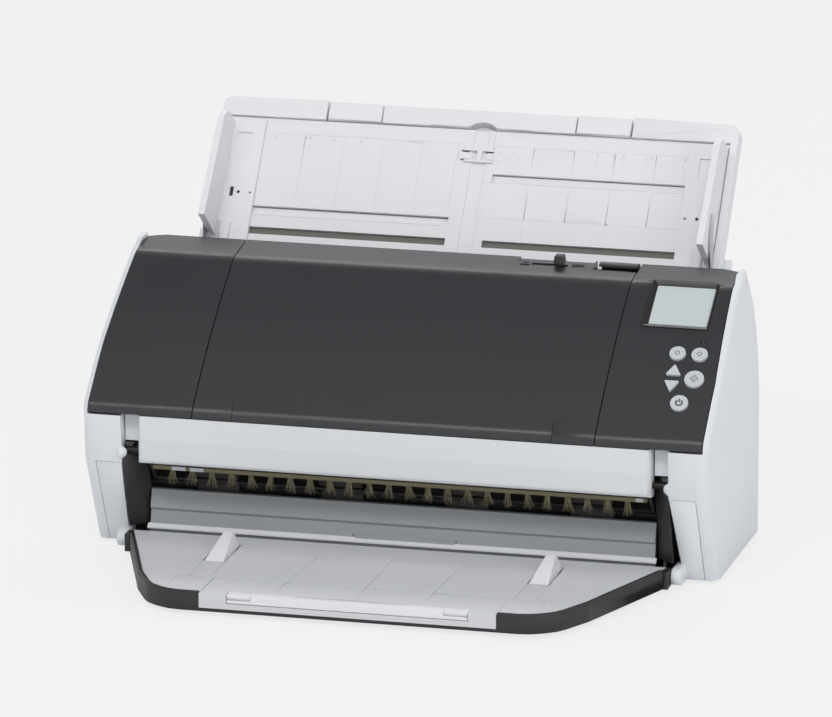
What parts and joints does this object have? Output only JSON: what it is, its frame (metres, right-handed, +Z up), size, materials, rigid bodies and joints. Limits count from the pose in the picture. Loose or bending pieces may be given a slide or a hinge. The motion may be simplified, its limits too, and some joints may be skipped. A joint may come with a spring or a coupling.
{
  "type": "document scanner",
  "caption": "Desktop sheet-fed document scanner with a forward-opening feed cover, sloped input tray with coupled side guides and a fold-up output stacker.",
  "frame": {"origin": "on the desk, under the middle of the bounding box", "axes": "+Z up, -Y towards the user, +X to the right seen from the front"},
  "size_m": [0.38, 0.3326, 0.2338],
  "materials": {
    "white_shell": "fine satin texture",
    "white_panel": "smooth satin",
    "black_shell": "fine satin texture",
    "black_frame": "fine texture",
    "grey_guide": "satin",
    "pale_tray": "fine satin texture",
    "button_grey": "satin",
    "screen": "matte film over a screen",
    "lamp": "clear",
    "glass": "polished",
    "roller_rubber": "ground",
    "steel": "plated",
    "pulley_plastic": "natural",
    "belt_rubber": "moulded",
    "board": "lacquered",
    "foot_rubber": "moulded",
    "bristle": "fibres on a metal strip"
  },
  "bodies": {
    "housing": {"left_side_cover": "white_shell", "right_side_cover": "white_shell", "left_lower_pillar": "white_shell", "right_lower_pillar": "white_shell", "left_riser": "black_frame", "right_riser": "black_frame", "left_chassis_plate": "steel", "right_chassis_plate": "steel", "rear_cover": "white_shell", "base_pan": "steel", "front_left_foot": "foot_rubber", "front_right_foot": "foot_rubber", "rear_left_foot": "foot_rubber", "rear_right_foot": "foot_rubber", "exit_wall": "grey_guide", "lower_guide": "grey_guide", "lower_glass": "glass", "feed_motor": "steel", "drive_belt": "belt_rubber", "main_board": "board", "power_inlet": "black_frame", "data_socket": "black_frame", "left_hinge_pin": "steel", "right_hinge_pin": "steel"},
    "drive_motor_pulley": {"motor_pulley": "pulley_plastic"},
    "pick_roller": {"pick_shaft": "roller_rubber"},
    "feed_roller": {"feed_shaft": "roller_rubber"},
    "eject_roller": {"eject_shaft": "roller_rubber"},
    "feed_cover": {"centre_cover": "black_shell", "left_end_cover": "black_shell", "control_panel": "black_shell", "display": "screen", "check_lamp": "lamp", "front_panel": "white_panel", "upper_guide": "grey_guide", "upper_glass": "glass", "anti_static_brush": "bristle"},
    "brake_roller": {"brake_shaft": "roller_rubber"},
    "pinch_roller": {"pinch_shaft": "roller_rubber"},
    "menu_button": {"menu_button": "button_grey"},
    "stop_button": {"stop_button": "button_grey"},
    "scan_button": {"scan_button": "button_grey"},
    "power_button": {"power_button": "button_grey"},
    "up_button": {"up_button": "button_grey"},
    "down_button": {"down_button": "button_grey"},
    "release_tab": {"release_tab": "black_shell"},
    "feed_mode_knob": {"feed_mode_knob": "black_shell"},
    "input_tray": {"tray_shell": "pale_tray", "tray_plate": "pale_tray"},
    "outer_extension": {"outer_extension": "pale_tray"},
    "inner_extension": {"inner_extension": "pale_tray"},
    "left_guide": {"left_guide": "pale_tray"},
    "right_guide": {"right_guide": "pale_tray"},
    "guide_pinion": {"guide_pinion": "pulley_plastic"},
    "stacker": {"stacker_frame": "black_frame", "stacker_floor": "pale_tray"},
    "stacker_extension": {"stacker_extension": "pale_tray"},
    "stopper": {"stopper": "pale_tray"},
    "left_wedge": {"left_wedge": "pale_tray"},
    "right_wedge": {"right_wedge": "pale_tray"}
  },
  "joints": [
    {"name": "cover_open", "type": "hinge", "parent": "housing", "child": "feed_cover", "pos_m": [0, -0.05441, 0.065], "axis": [1, 0, 0], "range_deg": [0, 75]},
    {"name": "motor_spin", "type": "hinge", "parent": "housing", "child": "drive_motor_pulley", "pos_m": [0, 0.04659, 0.036], "axis": [1, 0, 0], "continuous": true},
    {"name": "pick_spin", "type": "hinge", "parent": "housing", "child": "pick_roller", "pos_m": [0, 0.0381, 0.07211], "axis": [1, 0, 0], "continuous": true},
    {"name": "feed_spin", "type": "hinge", "parent": "housing", "child": "feed_roller", "pos_m": [0, 0.01576, 0.06071], "axis": [1, 0, 0], "continuous": true},
    {"name": "eject_spin", "type": "hinge", "parent": "housing", "child": "eject_roller", "pos_m": [0, -0.02311, 0.03735], "axis": [1, 0, 0], "continuous": true},
    {"name": "brake_spin", "type": "hinge", "parent": "feed_cover", "child": "brake_roller", "pos_m": [0, 0.02851, 0.08769], "axis": [1, 0, 0], "continuous": true},
    {"name": "pinch_spin", "type": "hinge", "parent": "feed_cover", "child": "pinch_roller", "pos_m": [0, -0.03143, 0.05137], "axis": [1, 0, 0], "continuous": true},
    {"name": "menu_press", "type": "slide", "parent": "feed_cover", "child": "menu_button", "axis": [0, 0.5951, -0.8037], "range_m": [0, 0.0008], "stiffness_N_per_m": 500, "springref_m": -0.0005},
    {"name": "stop_press", "type": "slide", "parent": "feed_cover", "child": "stop_button", "axis": [0, 0.5951, -0.8037], "range_m": [0, 0.0008], "stiffness_N_per_m": 500, "springref_m": -0.0005},
    {"name": "scan_press", "type": "slide", "parent": "feed_cover", "child": "scan_button", "axis": [0, 0.6229, -0.7823], "range_m": [0, 0.0008], "stiffness_N_per_m": 500, "springref_m": -0.0005},
    {"name": "power_press", "type": "slide", "parent": "feed_cover", "child": "power_button", "axis": [0, 0.6492, -0.7606], "range_m": [0, 0.0008], "stiffness_N_per_m": 500, "springref_m": -0.0005},
    {"name": "up_press", "type": "slide", "parent": "feed_cover", "child": "up_button", "axis": [0, 0.6138, -0.7894], "range_m": [0, 0.0008], "stiffness_N_per_m": 500, "springref_m": -0.0005},
    {"name": "down_press", "type": "slide", "parent": "feed_cover", "child": "down_button", "axis": [0, 0.6322, -0.7748], "range_m": [0, 0.0008], "stiffness_N_per_m": 500, "springref_m": -0.0005},
    {"name": "tab_press", "type": "hinge", "parent": "feed_cover", "child": "release_tab", "pos_m": [0, 0.04909, 0.1625], "axis": [-1, 0, 0], "range_deg": [0, 12], "stiffness_Nm_per_rad": 0.02, "springref_deg": -5.73},
    {"name": "knob_slide", "type": "slide", "parent": "feed_cover", "child": "feed_mode_knob", "axis": [1, 0, 0], "range_m": [-0.012, 0]},
    {"name": "tray_lift", "type": "slide", "parent": "housing", "child": "input_tray", "axis": [0, 0.606, 0.7955], "range_m": [0, 0.06]},
    {"name": "outer_pull", "type": "slide", "parent": "input_tray", "child": "outer_extension", "axis": [0, 0.606, 0.7955], "range_m": [0, 0.06]},
    {"name": "inner_pull", "type": "slide", "parent": "outer_extension", "child": "inner_extension", "axis": [0, 0.606, 0.7955], "range_m": [0, 0.06]},
    {"name": "left_guide_slide", "type": "slide", "parent": "input_tray", "child": "left_guide", "axis": [1, 0, 0], "range_m": [0, 0.08]},
    {"name": "right_guide_slide", "type": "slide", "parent": "input_tray", "child": "right_guide", "axis": [1, 0, 0], "range_m": [-0.08, 0]},
    {"name": "pinion_turn", "type": "hinge", "parent": "input_tray", "child": "guide_pinion", "pos_m": [0, 0.1255, 0.18378], "axis": [0, -0.7955, 0.606], "range_deg": [0, 360]},
    {"name": "stacker_fold", "type": "hinge", "parent": "housing", "child": "stacker", "pos_m": [0, -0.04641, 0.008], "axis": [1, 0, 0], "range_deg": [-59, 0]},
    {"name": "extension_pull", "type": "slide", "parent": "stacker", "child": "stacker_extension", "axis": [0, -1, 0], "range_m": [0, 0.06]},
    {"name": "stopper_flip", "type": "hinge", "parent": "stacker_extension", "child": "stopper", "pos_m": [0, -0.15931, 0.0135], "axis": [-1, 0, 0], "range_deg": [0, 90]},
    {"name": "left_wedge_fold", "type": "hinge", "parent": "stacker", "child": "left_wedge", "pos_m": [-0.098, -0.09741, 0.01225], "axis": [1, 0, 0], "range_deg": [-14, 0]},
    {"name": "right_wedge_fold", "type": "hinge", "parent": "stacker", "child": "right_wedge", "pos_m": [0.098, -0.09741, 0.01225], "axis": [1, 0, 0], "range_deg": [-14, 0]}
  ],
  "couplings": [
    {"joint": "motor_spin", "follows": "pick_spin", "ratio": 1.3333},
    {"joint": "feed_spin", "follows": "pick_spin", "ratio": 1},
    {"joint": "eject_spin", "follows": "pick_spin", "ratio": 1},
    {"joint": "right_guide_slide", "follows": "left_guide_slide", "ratio": -1},
    {"joint": "pinion_turn", "follows": "left_guide_slide", "rad_per_m": 76.923}
  ]
}
